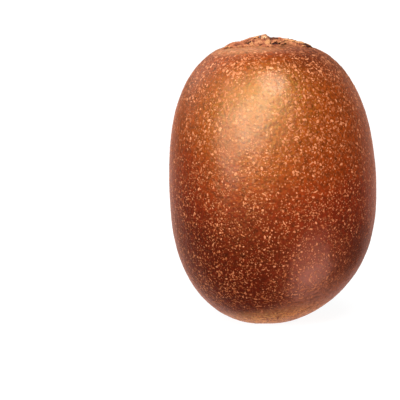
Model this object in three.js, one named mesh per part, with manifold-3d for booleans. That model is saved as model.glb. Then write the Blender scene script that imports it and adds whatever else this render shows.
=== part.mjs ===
// A whole golden kiwi fruit, standing on its blossom end with its stalk end up.
// Units are millimetres and +Z is up. The origin is on the surface that the fruit stands on, under the
// middle of its outline. +X is the broad way across the fruit and +Y the narrow way.
//
// It is made of four pieces:
//   fruit       the berry, which grew as one solid, with a flat foot, a dimple under it for the styles,
//               and a shallow basin at the top with a plain hole for the stalk
//   sepals      the dried calyx: five papery lobes, fused to a ring, lying on the fruit's shoulder
//   stalk_stub  the woody stub that is left where the stalk broke off, standing in the hole
//   styles      the tuft of dried styles in the dimple at the blossom end

import * as THREE from "three";
import { mergeVertices } from "three/addons/utils/BufferGeometryUtils.js";
import Module from "manifold-3d";

const wasm = await Module();
wasm.setup();

// ---- driving dimensions ----

// The berry. Its height runs from -1 at the blossom tip to +1 at the stalk tip of the unflattened form.
const HALF_LENGTH = 35.3; // from the middle to either tip
const HALF_WIDTH = 25; // radius at the middle, the broad way across
const NARROWING = 0.05; // how much less the narrow way is at the middle, as a share
const FULLNESS = [-0.03, 0.215, 0.055, -0.117]; // how far the girth leaves an ellipse, by powers of height
const BELLY = 1.6; // how far the middle swings out to +X
const LEAN = -0.95; // how far the middle line leans over towards the stalk end
const NOD = 1.5; // how far both ends are turned back from that lean
// The girth is a little uneven: lobes round the fruit, with their size as a share of the girth, and how
// they twist and where they start as the height goes from -1 to 1.
const LOBES = [
  { count: 3, size: 0.01, twist: 1.6, start: 0.4 },
  { count: 2, size: 0.007, twist: 2.3, start: -1.1 },
  { count: 5, size: 0.004, twist: 3.1, start: 0.8 },
];

// The foot that the fruit stands on, and the dimple in the middle of it.
const FOOT_CUT = 1; // how much of the tip is flat
const DIMPLE_RADIUS = 3.2;
const DIMPLE_DEPTH = 1.9;

// The stalk end.
const BASIN_DEPTH = 1.9;
const BASIN_RADIUS = 11;
const STUB_RADIUS = 2.2;
const HOLE_DEPTH = 2.2;
const GAP = 0.3; // between any two pieces

// The sepals.
const RING_WIDTH = 1.9;
const RING_THICKNESS = 0.7;
const BLADE_THICKNESS = 0.6;
const BLADE_ROOT = 0.6; // how far a blade is sunk into the ring
const BLADE_END = 0.12; // width left at a blade's tip, as a share of its half width
const BLADE_BULGE = 0.9; // how much wider a blade is halfway along
const BLADE_CORNERS = 0.08; // how far a blade's corners are cut back, as a share of its length
const RAGGEDNESS = 0.3; // how far a blade's edge is torn
// Each sepal: bearing about the stalk in degrees from +X, length from the ring's middle, half width,
// rise of its tip, rise of its edges, and how much it is crumpled.
const SEPALS = [
  { bearing: -14, length: 7.6, halfWidth: 3.3, tipRise: 0.1, edgeRise: 0.1, crumple: 0.1 },
  { bearing: 60, length: 6.2, halfWidth: 3.4, tipRise: 0.1, edgeRise: 0.1, crumple: 0.1 },
  { bearing: 130, length: 6.6, halfWidth: 3.1, tipRise: 0.1, edgeRise: 0.1, crumple: 0.08 },
  { bearing: 196, length: 5.2, halfWidth: 3.5, tipRise: 0.05, edgeRise: 0.15, crumple: 0.15 },
  { bearing: 270, length: 4.6, halfWidth: 3.0, tipRise: 0.2, edgeRise: 0.2, crumple: 0.15 },
];

// The stub of the stalk.
const STUB_RISE = 1.7; // how far it stands above the bottom of the basin
const STUB_ROUGHNESS = 0.28;

// The dried styles.
const STYLE_COUNT = 15;
const STYLE_THICKNESS = 0.5;
const STYLE_DISC_RADIUS = 1.1;
const STYLE_DISC_THICKNESS = 0.55;

// How finely the pieces are faceted.
const ROUND_STEPS = 64;
const SIDE_STEPS = 36;
const DIMPLE_STEPS = 6;
const BLADE_STEPS = [9, 5];
const STUB_STEPS = 14;
const RING_STEPS = 40;

// The shoulder is above this height share, and a point on it is found by this many halvings.
const SHOULDER_SHARE = 0.4;
const HALVINGS = 40;

// ---- the berry's form ----

// Radius of the unflattened form at a height share, before it is narrowed and bent.
function girth(share) {
  const swell = FULLNESS.reduce((sum, k, i) => sum + k * share ** (i + 1), 1);
  return HALF_WIDTH * Math.sqrt(Math.max(0, 1 - share * share)) * swell;
}

// The height share on the shoulder at which the form has a given radius, by halving.
function shareAt(radius) {
  let inner = 1;
  let outer = SHOULDER_SHARE;
  for (let i = 0; i < HALVINGS; i++) {
    const middle = (inner + outer) / 2;
    if (girth(middle) < radius) inner = middle;
    else outer = middle;
  }
  return (inner + outer) / 2;
}

// How far the fruit's surface dips round the stalk.
function basin(radius) {
  return BASIN_DEPTH * Math.exp(-((radius / BASIN_RADIUS) ** 4));
}

const footShare = -1 + FOOT_CUT / HALF_LENGTH;
const footHeight = footShare * HALF_LENGTH;

// Heights are measured from the foot.
const heightOf = (share) => share * HALF_LENGTH - footHeight;

// A slow unevenness round the fruit, which fades out towards both ends.
function unevenness(angle, share) {
  const lobe = ({ count, size, twist, start }) =>
    size * Math.sin(count * angle) * Math.cos(twist * share + start);
  return 1 + (1 - share ** 2) * LOBES.reduce((sum, next) => sum + lobe(next), 0);
}

// Where the middle line stands along X at a height share.
function middleLine(share) {
  return BELLY * (1 - share ** 2) + LEAN * share + NOD * share ** 3;
}

// Carries a point of the round form to its place on the narrowed, bent and uneven fruit.
function placed(radius, angle, share, height) {
  const across = radius * unevenness(angle, share);
  const depth = 1 - NARROWING * (1 - share ** 4);
  const x = middleLine(share) + across * Math.cos(angle);
  return new THREE.Vector3(x, depth * across * Math.sin(angle), height);
}

// The outline from the middle of the dimple, over the foot, up the side and into the stalk's hole.
// Each station has a radius, a height, and the height share that says how it is bent.
function fruitStations() {
  const list = [];
  for (let i = 0; i < DIMPLE_STEPS; i++) {
    const radius = (DIMPLE_RADIUS * i) / DIMPLE_STEPS;
    const bowl = Math.sqrt(1 - (i / DIMPLE_STEPS) ** 2);
    list.push({ radius, height: DIMPLE_DEPTH * bowl, share: footShare });
  }
  const footRadius = girth(footShare);
  list.push({ radius: DIMPLE_RADIUS, height: 0, share: footShare });
  list.push({ radius: (DIMPLE_RADIUS + footRadius) / 2, height: 0, share: footShare });
  const holeRadius = STUB_RADIUS + GAP;
  const rimShare = shareAt(holeRadius);
  const start = Math.asin(footShare);
  const end = Math.asin(rimShare);
  for (let i = 0; i <= SIDE_STEPS; i++) {
    const share = Math.sin(start + ((end - start) * i) / SIDE_STEPS);
    const radius = girth(share);
    const dip = share > 0 ? basin(radius) : 0;
    list.push({ radius, height: heightOf(share) - dip, share });
  }
  const floor = heightOf(rimShare) - basin(holeRadius) - HOLE_DEPTH;
  list.push({ radius: holeRadius, height: floor, share: rimShare });
  list.push({ radius: 0, height: floor, share: rimShare });
  return list;
}

// ---- helpers ----

// A geometry as one welded surface that holds positions only.
function welded(geometry) {
  geometry.deleteAttribute("normal");
  geometry.deleteAttribute("uv");
  const merged = mergeVertices(geometry, 1e-4);
  const index = merged.index.array;
  const kept = [];
  for (let i = 0; i < index.length; i += 3) {
    const [a, b, c] = index.slice(i, i + 3);
    if (a !== b && b !== c && c !== a) kept.push(a, b, c);
  }
  merged.setIndex(kept);
  return merged;
}

function solidOf(geometry) {
  const surface = welded(geometry);
  return new wasm.Manifold(
    new wasm.Mesh({
      numProp: 3,
      vertProperties: surface.attributes.position.array,
      triVerts: new Uint32Array(surface.index.array),
    }),
  );
}

// Joins several closed geometries into one.
function joined(geometries) {
  const made = geometries.map(solidOf).reduce((whole, next) => whole.add(next));
  const mesh = made.getMesh();
  const geometry = new THREE.BufferGeometry();
  geometry.setAttribute("position", new THREE.BufferAttribute(mesh.vertProperties, 3));
  geometry.setIndex(new THREE.BufferAttribute(mesh.triVerts, 1));
  return geometry;
}

// A lathed form whose every point is then moved by place(station, angle).
function lathed(stations, steps, place) {
  const outline = stations.map((p) => new THREE.Vector2(p.radius, p.height));
  const geometry = new THREE.LatheGeometry(outline, steps);
  const position = geometry.attributes.position;
  for (let i = 0; i < position.count; i++) {
    const turn = Math.floor(i / stations.length) % steps;
    const angle = (2 * Math.PI * turn) / steps;
    const at = place(stations[i % stations.length], angle);
    position.setXYZ(i, at.x, at.y, at.z);
  }
  return welded(geometry);
}

// A closed blade between two alike grids: point(u, v, side) gives a place, with u from 0 at the root to 1
// at the tip, v from -1 to 1 across, and side -1 underneath and 1 on top.
function blade([along, across], point) {
  const places = [];
  for (const side of [-1, 1])
    for (let i = 0; i <= along; i++)
      for (let j = 0; j <= across; j++) places.push(point(i / along, (2 * j) / across - 1, side));
  const row = across + 1;
  const layer = (along + 1) * row;
  const index = [];
  const quad = (a, b, c, d) => index.push(a, b, c, a, c, d);
  for (let i = 0; i < along; i++)
    for (let j = 0; j < across; j++) {
      const a = i * row + j;
      index.push(a, a + row + 1, a + row, a, a + 1, a + row + 1);
      index.push(layer + a, layer + a + row, layer + a + row + 1);
      index.push(layer + a, layer + a + row + 1, layer + a + 1);
    }
  for (let i = 0; i < along; i++) {
    const left = i * row;
    const right = left + across;
    quad(left, left + row, left + row + layer, left + layer);
    quad(right + row, right, right + layer, right + row + layer);
  }
  for (let j = 0; j < across; j++) {
    const tip = along * row + j;
    quad(j + 1, j, j + layer, j + 1 + layer);
    quad(tip, tip + 1, tip + 1 + layer, tip + layer);
  }
  const geometry = new THREE.BufferGeometry();
  geometry.setAttribute("position", new THREE.Float32BufferAttribute(places.flat(), 3));
  geometry.setIndex(index);
  return geometry;
}

// A repeatable draw between -1 and 1 for a numbered place.
function draw(number) {
  const wave = Math.sin(number * 127.1 + 11.7) * 43758.5453;
  return 2 * (wave - Math.floor(wave)) - 1;
}

function piece(name, geometry, color, roughness) {
  const material = new THREE.MeshStandardMaterial({ color, roughness, metalness: 0 });
  const mesh = new THREE.Mesh(geometry, material);
  mesh.name = name;
  return mesh;
}

// ---- the pieces ----

function fruit() {
  const place = (station, angle) => placed(station.radius, angle, station.share, station.height);
  return piece("fruit", lathed(fruitStations(), ROUND_STEPS, place), 0x9a4f22, 0.5);
}

// Height of the fruit's surface at a distance from the stalk.
function shoulderHeight(radius) {
  return heightOf(shareAt(radius)) - basin(radius);
}

// A point on or above the shoulder, at a distance and bearing from the stalk.
function aboveShoulder(radius, angle, rise) {
  return placed(radius, angle, shareAt(radius), shoulderHeight(radius) + rise);
}

function sepalRing() {
  const inner = STUB_RADIUS + GAP;
  const outer = inner + RING_WIDTH;
  const middle = (inner + outer) / 2;
  const stations = [
    { radius: inner, height: GAP },
    { radius: middle, height: GAP },
    { radius: outer, height: GAP },
    { radius: outer, height: GAP + RING_THICKNESS * 0.6 },
    { radius: middle, height: GAP + RING_THICKNESS },
    { radius: inner, height: GAP + RING_THICKNESS * 0.8 },
    { radius: inner, height: GAP },
  ];
  return lathed(stations, RING_STEPS, ({ radius, height }, angle) =>
    aboveShoulder(radius, angle, height),
  );
}

function sepalBlade(sepal, number) {
  const ringMiddle = STUB_RADIUS + GAP + RING_WIDTH / 2;
  const rootRadius = ringMiddle + RING_WIDTH / 2 - BLADE_ROOT;
  return blade(BLADE_STEPS, (u, v, side) => {
    const station = Math.round(u * BLADE_STEPS[0]);
    const ragged = RAGGEDNESS * u * draw(number * 31 + station * 7 + Math.sign(v));
    const taper = (1 - u ** 3) ** 0.55 * (0.72 + BLADE_BULGE * u * (1 - u)) + BLADE_END;
    const sideways = v * (sepal.halfWidth * taper + ragged);
    const reach = (ringMiddle + sepal.length - rootRadius) * (1 - BLADE_CORNERS * v * v);
    const outward = rootRadius + reach * u;
    const radius = Math.hypot(outward, sideways);
    const angle = THREE.MathUtils.degToRad(sepal.bearing) + Math.atan2(sideways, outward);
    const curl = sepal.tipRise * u ** 3 + sepal.edgeRise * v * v * u;
    const crumpled = sepal.crumple * u * (1 + Math.sin(9 * u + 4 * v + number * 2.3));
    const middle = GAP + BLADE_THICKNESS / 2 + curl + crumpled;
    const at = aboveShoulder(radius, angle, middle + (side * BLADE_THICKNESS) / 2);
    return [at.x, at.y, at.z];
  });
}

function sepals() {
  const geometry = joined([sepalRing(), ...SEPALS.map(sepalBlade)]);
  return piece("sepals", geometry, 0x8a5a34, 0.85);
}

// A rough peg with a broken top, a little wider where it tore.
function stalkStub() {
  const bottom = shoulderHeight(STUB_RADIUS + GAP) - HOLE_DEPTH + GAP;
  const top = shoulderHeight(STUB_RADIUS + GAP) + STUB_RISE;
  const stations = [
    { radius: 0, height: bottom },
    { radius: STUB_RADIUS * 0.8, height: bottom },
    { radius: STUB_RADIUS * 0.95, height: bottom + 0.6 },
    { radius: STUB_RADIUS * 0.95, height: top - 1.5 },
    { radius: STUB_RADIUS * 0.8, height: top - 0.8 },
    { radius: STUB_RADIUS * 0.5, height: top - 0.35 },
    { radius: 0, height: top },
  ];
  const middle = middleLine(shareAt(STUB_RADIUS + GAP));
  const geometry = lathed(stations, STUB_STEPS, (station, angle) => {
    const torn = station.height > top - 1 && station.radius > 0;
    const number = Math.round(angle * 10) + station.radius * 3;
    const lift = torn ? STUB_ROUGHNESS * draw(number) : 0;
    const radius = station.radius * (1 + (torn ? 0.1 * draw(number + 5) : 0));
    return new THREE.Vector3(
      middle + radius * Math.cos(angle),
      radius * Math.sin(angle),
      station.height + lift,
    );
  });
  return piece("stalk_stub", geometry, 0xa9764a, 0.9);
}

// One dried style: a thin three-sided rod that runs out from the disc and droops.
function styleRod(number) {
  const angle = ((2 * Math.PI) / STYLE_COUNT) * (number + 0.25 * draw(number));
  const reach = DIMPLE_RADIUS * (0.68 + 0.07 * draw(number + 40));
  const root = DIMPLE_DEPTH - GAP - STYLE_DISC_THICKNESS * 0.5;
  const droop = 0.55 + 0.2 * draw(number + 80);
  const path = new THREE.CatmullRomCurve3([
    new THREE.Vector3(0.4, 0, root),
    new THREE.Vector3(STYLE_DISC_RADIUS, 0, root - 0.1),
    new THREE.Vector3(reach, 0, root - droop),
  ]);
  const corner = (turn) => {
    const at = (2 * Math.PI * turn) / 3;
    return new THREE.Vector2(Math.cos(at), Math.sin(at)).multiplyScalar(STYLE_THICKNESS / 2);
  };
  const section = new THREE.Shape([corner(0), corner(1), corner(2)]);
  const rod = new THREE.ExtrudeGeometry(section, { steps: 4, extrudePath: path });
  return rod.rotateZ(angle);
}

function styles() {
  const disc = new THREE.CylinderGeometry(
    STYLE_DISC_RADIUS,
    STYLE_DISC_RADIUS * 0.7,
    STYLE_DISC_THICKNESS,
    12,
  );
  disc.rotateX(Math.PI / 2);
  disc.translate(0, 0, DIMPLE_DEPTH - GAP - STYLE_DISC_THICKNESS / 2);
  const rods = Array.from({ length: STYLE_COUNT }, (_, number) => styleRod(number));
  const tuft = piece("styles", joined([disc, ...rods]), 0x2b1c12, 0.9);
  tuft.position.x = middleLine(footShare);
  return tuft;
}

// The pieces stand together in one group, which is moved so that the origin is under the outline's middle.
const standing = new THREE.Group();
standing.add(fruit(), sepals(), stalkStub(), styles());
const outline = new THREE.Box3().setFromObject(standing);
standing.position.set(-(outline.min.x + outline.max.x) / 2, -(outline.min.y + outline.max.y) / 2, 0);

const kiwi = new THREE.Group();
kiwi.name = "golden_kiwi";
kiwi.add(standing);

export default kiwi;
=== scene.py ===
import math

import bpy
import numpy as np
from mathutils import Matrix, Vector, noise


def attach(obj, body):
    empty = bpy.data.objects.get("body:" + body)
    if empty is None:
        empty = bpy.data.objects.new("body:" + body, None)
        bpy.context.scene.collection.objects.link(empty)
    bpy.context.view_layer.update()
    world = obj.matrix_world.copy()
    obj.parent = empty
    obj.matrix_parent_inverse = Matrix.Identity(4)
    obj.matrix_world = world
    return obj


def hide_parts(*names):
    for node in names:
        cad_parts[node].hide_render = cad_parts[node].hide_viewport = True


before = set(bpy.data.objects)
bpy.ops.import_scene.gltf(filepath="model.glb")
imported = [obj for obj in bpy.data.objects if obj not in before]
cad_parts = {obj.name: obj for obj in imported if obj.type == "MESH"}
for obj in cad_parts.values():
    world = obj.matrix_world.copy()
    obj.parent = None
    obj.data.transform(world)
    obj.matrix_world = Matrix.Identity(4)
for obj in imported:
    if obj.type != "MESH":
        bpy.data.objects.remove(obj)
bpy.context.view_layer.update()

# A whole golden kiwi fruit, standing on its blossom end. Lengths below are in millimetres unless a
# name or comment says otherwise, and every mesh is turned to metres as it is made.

MM = 0.001

# ---- the berry's form, as its solid has it ----

HALF_LENGTH = 35.3
HALF_WIDTH = 25.0
NARROWING = 0.05  # how much less deep than wide the fruit is, as a share
FULLNESS = (-0.03, 0.215, 0.055, -0.117)  # how much each power of the height share swells it
BELLY = 1.6  # how far the middle line bows along X, then how far it leans and nods at the ends
LEAN = -0.95
NOD = 1.5
# Lobes round the girth: how many, their size as a share of it, their twist and where they start.
LOBES = ((3, 0.01, 1.6, 0.4), (2, 0.007, 2.3, -1.1), (5, 0.004, 3.1, 0.8))
FOOT_CUT = 1.0
FOOT_SOFTNESS = 0.25  # how softly the round form runs into the flat foot
DIMPLE_RADIUS = 3.2
DIMPLE_DEPTH = 1.9
BASIN_DEPTH = 1.9
BASIN_RADIUS = 11.0
STUB_RADIUS = 2.2
STUB_RISE = 1.7
STUB_DEPTH = 1.9  # how far the stub goes down into the fruit
PIT_DEPTH = 1.3  # how far the skin dips under the stub, and how far in from its wall it does so
PIT_SLOPE = 0.6
CREST_HEIGHT = 0.75
CREST_SIDE = 0.8  # how far the crest stands off the middle of the stub
CREST_SLOPES = (1.8, 0.7)  # how wide the crest is on its gentle side and on its steep side
GAP = 0.3
RING_WIDTH = 1.9
BLADE_ROOT = 0.6  # how far a sepal's blade starts inside the ring
COLLAR_HEIGHT = 0.55
COLLAR_BASE = 0.1  # how far the collar stands off the stub and the skin
COLLAR_SPREAD = 0.6  # how far the collar's tissue spreads out past the ring
# Sepals: bearing in degrees, length, half width, how far the sheet is lifted off the skin, rise of
# the tip, rise of the edges and crumpling.
SEPALS = (
    (-5, 6.9, 2.9, 0.1, 0.2, 0.1, 0.45),
    (60, 6.2, 3.4, 0.2, 0.1, 0.1, 0.6),
    (130, 6.6, 3.1, 0.35, 0.1, 0.1, 0.7),
    (192, 7.6, 3.6, 0.1, 0.15, 0.1, 0.9),
    (270, 3.9, 3.0, 0.0, 0.1, 0.0, 0.35),
)
# Hollows in the sepals, painted dark as painted shade and sunk: place from the stalk in x and y, size
# in x and y, and how deep they are sunk, as a share of the rise.
SHADED_HOLLOWS = ((0.5, -5.5, 1.0, 0.8, 0.9), (-4.8, -3.5, 0.8, 0.5, 0.6), (8.9, -1.5, 1.2, 0.9, 0.0))
# Torn bits that lie on the sepals: bearing, distance from the stalk, heading away from straight out,
# length, half width, rise of the root, rise of the tip, and paleness.
SCRAPS = (
    (267, 4.6, -14, 1.8, 0.7, 0.85, 0.3, 0.5),
    (300, 3.6, 8, 2.6, 1.1, 0.8, 0.4, 0.1),
    (250, 2.7, -10, 0.9, 0.35, 1.0, 1.35, 1.0),
    (214, 4.4, 180, 2.2, 0.9, 0.4, 0.7, 0.2),
    (204, 6.2, 60, 1.6, 1.0, 0.8, 0.7, 0.0),
    (243, 3.6, -12, 3.4, 1.4, 0.4, 0.1, 0.1),
    (226, 3.4, 6, 3.8, 1.5, 0.4, 0.15, 0.1),
    (206, 4.6, -20, 2.2, 1.0, 0.4, 0.7, 0.0),
    (186, 3.5, 20, 3.2, 1.2, 0.4, 0.3, 0.1),
    (325, 4.2, 25, 3.4, 1.0, 0.3, 0.1, 0.2),
    (355, 3.7, -3, 6.1, 1.2, 0.6, 0.6, 0.55),
    (186, 3.8, 180, 1.9, 0.9, 0.95, 1.45, 0.45),
    (18, 4.2, 10, 3.6, 1.2, 0.4, 0.3, 0.0),
    (75, 3.6, -15, 3.0, 1.3, 0.6, 0.4, 0.1),
    (112, 4.4, 20, 2.6, 1.1, 0.6, 0.4, 0.0),
    (150, 3.7, -12, 3.0, 1.2, 0.6, 0.4, 0.1),
)
FLAKE_COUNT = 26  # small loose flakes, scattered over the sepals
# The flakes' turn, distance from the stalk, length, half width, rise of the root, rise of the tip
# and paleness, each drawn between two values.
FLAKE_RANGES = ((-80, 80), (3.0, 7.0), (0.8, 1.7), (0.25, 0.5), (0.4, 0.8), (0.5, 1.0), (0, 0.5))
SEPAL_THICKNESS = 0.34
SCRAP_THICKNESS = 0.26
FLAKE_THICKNESS = 0.18
# How wide the tears, folds and puckers of the dry tissue are.
TEAR_WIDTH = 0.8
FINE_TEAR_WIDTH = 0.3
TIP_TEAR_WIDTH = 0.7
STUCK_WIDTH = 1.6
WORN_WIDTH = 1.4
FOLD_WIDTH = 2.1
SMALL_FOLD_WIDTH = 0.9
PUCKER_WIDTH = 0.42
SCRAP_FOLD_WIDTH = 1.3
SCRAP_PUCKER_WIDTH = 0.4
RIM_TEAR = 0.3  # how deep a tear goes into a sheet's sides, and into its tip
TIP_TEAR = 0.35
CLEARANCE = 0.02  # the least gap between a sheet and the skin
TUCK = 0.08  # how far a stuck rim sinks into the skin
STYLE_COUNT = 30
STYLE_START = 0.35  # how far from the middle the styles start
STYLE_DEPTH = 0.5  # how far under the dimple's top they start, and how far the ends droop
STYLE_DROOP = (0.35, 0.85)
STYLE_REACH = (0.5, 0.8)  # as a share of the dimple's radius
STYLE_SWERVE = 0.35
STYLE_HALF_WIDTH = 0.09
TIP_SWELL = 0.06
KNOT_RADIUS = 1.15
KNOT_HEIGHT = 0.5
KNOT_DEPTH = 0.75
FOOT_SHARE = -1 + FOOT_CUT / HALF_LENGTH
FOOT_HEIGHT = FOOT_SHARE * HALF_LENGTH

# ---- fineness ----

SKIN_STEPS = 120  # quads along each edge of the six patches that cover the fruit
SEPAL_STEPS = (44, 30)  # along a sepal and across it
FLAKE_STEPS = (14, 10)  # along a small flake and across it
COLLAR_STEPS = (150, 26)  # round the stalk and round the collar's section
STUB_STEPS = (22, 44)  # up the stub and round it
STYLE_STEPS = (10, 6)  # along a style and round it
KNOT_STEPS = (10, 18)  # up the knot and round it
OUTLINE_STEPS = (801, 721)  # up the fruit and round it, where its outline is measured
HALVINGS = 40
SHOULDER_START = 0.4  # the height share over which the fruit counts as its shoulder


def girth(share):
    """Radius of the round form at a height share, which runs from -1 to 1."""
    swell = 1 + sum(k * share ** (i + 1) for i, k in enumerate(FULLNESS))
    return HALF_WIDTH * np.sqrt(np.maximum(0, 1 - share * share)) * swell


def height_of(share):
    """Height above the foot at a height share."""
    return share * HALF_LENGTH - FOOT_HEIGHT


def share_at(radius):
    """The height share on the shoulder at which the round form has a given radius."""
    inner, outer = np.ones_like(radius), np.full_like(radius, SHOULDER_START)
    for _ in range(HALVINGS):
        middle = (inner + outer) / 2
        wide = girth(middle) >= radius
        inner, outer = np.where(wide, inner, middle), np.where(wide, middle, outer)
    return (inner + outer) / 2


def basin(radius):
    """How far the shoulder dips round the stalk."""
    return BASIN_DEPTH * np.exp(-((radius / BASIN_RADIUS) ** 4))


def unevenness(angle, share):
    """A slow waviness of the girth that fades out towards both ends."""
    lobes = sum(
        size * np.sin(count * angle) * np.cos(twist * share + start)
        for count, size, twist, start in LOBES
    )
    return 1 + (1 - share * share) * lobes


def middle_line(share):
    """Where the fruit's middle line stands along X at a height share."""
    return BELLY * (1 - share * share) + LEAN * share + NOD * share**3


def placed(radius, angle, share, height):
    """Carries points of the round form to their places on the narrowed and bent fruit."""
    across = radius * unevenness(angle, share)
    depth = 1 - NARROWING * (1 - share**4)
    x = middle_line(share) + across * np.cos(angle)
    y = depth * across * np.sin(angle)
    return np.stack([x, y, height + 0 * x], axis=-1)


def outline_middle():
    """The middle, across, of the fruit's outline, which stands over the origin."""
    levels, round_it = OUTLINE_STEPS
    share, angle = np.meshgrid(np.linspace(-1, 1, levels), np.linspace(0, 2 * np.pi, round_it))
    points = placed(girth(share), angle, share, share)
    middle = (points.min(axis=(0, 1)) + points.max(axis=(0, 1))) / 2
    return np.array([middle[0], middle[1], 0.0])


MIDDLE = outline_middle()


def smooth(low, high, value):
    """Rises smoothly from 0 at low to 1 at high."""
    t = np.clip((value - low) / (high - low), 0, 1)
    return t * t * (3 - 2 * t)


def shoulder(radius, angle, rise):
    """Points at a distance and bearing from the stalk, a rise above the fruit's shoulder."""
    share = share_at(radius)
    return placed(radius, angle, share, height_of(share) - basin(radius) + rise) - MIDDLE


def mesh_object(name, points, faces, material, **marks):
    """A smooth shaded mesh piece from points in millimetres, with a number for each point as marks."""
    mesh = bpy.data.meshes.new(name)
    mesh.from_pydata((np.asarray(points) * MM).tolist(), [], faces)
    mesh.polygons.foreach_set("use_smooth", [True] * len(mesh.polygons))
    for label, values in marks.items():
        layer = mesh.attributes.new(label, "FLOAT", "POINT")
        layer.data.foreach_set("value", np.asarray(values, np.float32))
    mesh.materials.append(material)
    mesh.update()
    piece = bpy.data.objects.new(name, mesh)
    bpy.context.scene.collection.objects.link(piece)
    return piece


def slab(top, bottom):
    """Points and faces of a closed sheet between two grids of points, the top one seen from above."""
    rows, columns = top.shape[:2]

    def at(i, j, side=0):
        return side * rows * columns + i * columns + j

    faces = []
    for i in range(rows - 1):
        for j in range(columns - 1):
            faces.append((at(i, j), at(i + 1, j), at(i + 1, j + 1), at(i, j + 1)))
            faces.append((at(i, j, 1), at(i, j + 1, 1), at(i + 1, j + 1, 1), at(i + 1, j, 1)))
    rim = [(i, 0) for i in range(rows)] + [(rows - 1, j) for j in range(1, columns)]
    rim += [(i, columns - 1) for i in range(rows - 2, -1, -1)]
    rim += [(0, j) for j in range(columns - 2, 0, -1)]
    for one, two in zip(rim, rim[1:] + rim[:1]):
        faces.append((at(*one), at(*one, 1), at(*two, 1), at(*two)))
    return np.concatenate([top.reshape(-1, 3), bottom.reshape(-1, 3)]), faces


def hoop(grid):
    """Points and faces of a closed ring, from a grid that goes round it and round its section."""
    rows, columns = grid.shape[:2]
    faces = []
    for i in range(rows):
        for j in range(columns):
            k, m = (i + 1) % rows, (j + 1) % columns
            faces.append(tuple(a * columns + b for a, b in ((i, j), (k, j), (k, m), (i, m))))
    return grid.reshape(-1, 3), faces


def rod(rings):
    """Points and faces of a closed rod, from rings of points that follow each other along it."""
    rows, columns = rings.shape[:2]
    ends = rings[[0, -1]].mean(axis=1)
    faces = []
    for j in range(columns):
        k = (j + 1) % columns
        for i in range(rows - 1):
            low, high = i * columns, (i + 1) * columns
            faces.append((low + j, low + k, high + k, high + j))
        last = (rows - 1) * columns
        faces.append((rows * columns, k, j))
        faces.append((rows * columns + 1, last + j, last + k))
    return np.concatenate([rings.reshape(-1, 3), ends]), faces


def together(parts):
    """One set of points and faces from several, and which part each point is from."""
    points, faces, owner, count = [], [], [], 0
    for number, (some, quads) in enumerate(parts):
        points.append(some)
        faces += [tuple(count + k for k in quad) for quad in quads]
        owner.append(np.full(len(some), number))
        count += len(some)
    return np.concatenate(points), faces, np.concatenate(owner)


def roughness(points, size, seed=0.0):
    """Noise between about -1 and 1 at each point, with bumps of a size in millimetres."""
    flat = np.asarray(points).reshape(-1, 3) / size + seed
    values = [noise.noise(Vector(p)) for p in flat.tolist()]
    return np.array(values).reshape(np.shape(points)[:-1])


def linear(code):
    """An sRGB hex colour as linear RGBA."""
    parts = [int(code[i : i + 2], 16) / 255 for i in (1, 3, 5)]
    return [p / 12.92 if p <= 0.04045 else ((p + 0.055) / 1.055) ** 2.4 for p in parts] + [1.0]


MATH = "ShaderNodeMath"
MAP_RANGE = "ShaderNodeMapRange"
NOISE = "ShaderNodeTexNoise"
VECTOR_MATH = "ShaderNodeVectorMath"
RANDOM = "FunctionNodeRandomValue"


def per_metre(size):
    """The scale that makes one feature of a pattern this many millimetres wide."""
    return 1 / (size * MM)


def add(tree, kind, inputs=None, stops=None, out=0, **settings):
    """Adds a node with its settings. Each input is a value, or a socket that it is linked to.

    It gives the node's first output, or the one that out names, or all of them if out is None.
    """
    node = tree.nodes.new(kind)
    for name, value in settings.items():
        setattr(node, name, value)
    for key, value in (inputs or {}).items():
        if isinstance(value, bpy.types.NodeSocket):
            tree.links.new(value, node.inputs[key])
        else:
            node.inputs[key].default_value = value
    for place, (at, code) in enumerate(stops or []):
        elements = node.color_ramp.elements
        stop = elements[place] if place < 2 else elements.new(at)
        stop.position, stop.color = at, linear(code)
    return node.outputs[out] if node.outputs and out is not None else node.outputs


def new_material(name):
    """A material with an empty tree, and that tree."""
    material = bpy.data.materials.new(name)
    material.use_nodes = True
    material.node_tree.nodes.clear()
    return material, material.node_tree


def new_growth(name, sizes, counts=()):
    """A geometry node tree that takes a geometry, named sizes and counts, and a material."""
    tree = bpy.data.node_groups.new(name, "GeometryNodeTree")
    kinds = {"Geometry": "Geometry"} | {label: "Float" for label in sizes}
    kinds |= {label: "Int" for label in counts} | {"Material": "Material"}
    for label, kind in kinds.items():
        tree.interface.new_socket(label, in_out="INPUT", socket_type="NodeSocket" + kind)
    tree.interface.new_socket("Geometry", in_out="OUTPUT", socket_type="NodeSocketGeometry")
    return tree


# ---- materials ----

# Widths of the patterns. The freckles, wrinkles and grain are finer on a real fruit, and are drawn as
# coarse as they need to show.
DRIFT_WIDTH = 9.0
MOTTLE_WIDTH = 0.9
FRECKLE_WIDTH = 0.62
FILM_PATCH_WIDTH = 1.4
WRINKLE_WIDTH = 0.9
GRAIN_WIDTH = 0.5
CRACK_WIDTH = 0.55
FIBRE_WIDTH = 0.4
STYLE_GRAIN_WIDTH = 0.3
HEIGHT_SHADE_LEVELS = (24, 55)  # where the painted shade of the lower skin starts to give way to golden brown, and where it is gone
HEIGHT_SHADE_SLOPE = (0.09, 0.09, 1.0)
HEIGHT_SHADE_DRIFT = 18  # how far the drift moves those levels at most
MOTTLE_RANGE = (0.36, 1.6)  # what the mottling multiplies the colour by
FRECKLE_REACH = 0.36  # the largest freckles and pits, and how soft their rims are, in freckle widths
FRECKLE_RIM = 0.16
GLOSS_LEVELS = (30, 54)  # where the gloss turns from reddish to golden
WAX_LEVELS = (58, 65)  # where the wax starts to be worn, and where it is thinnest
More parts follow.
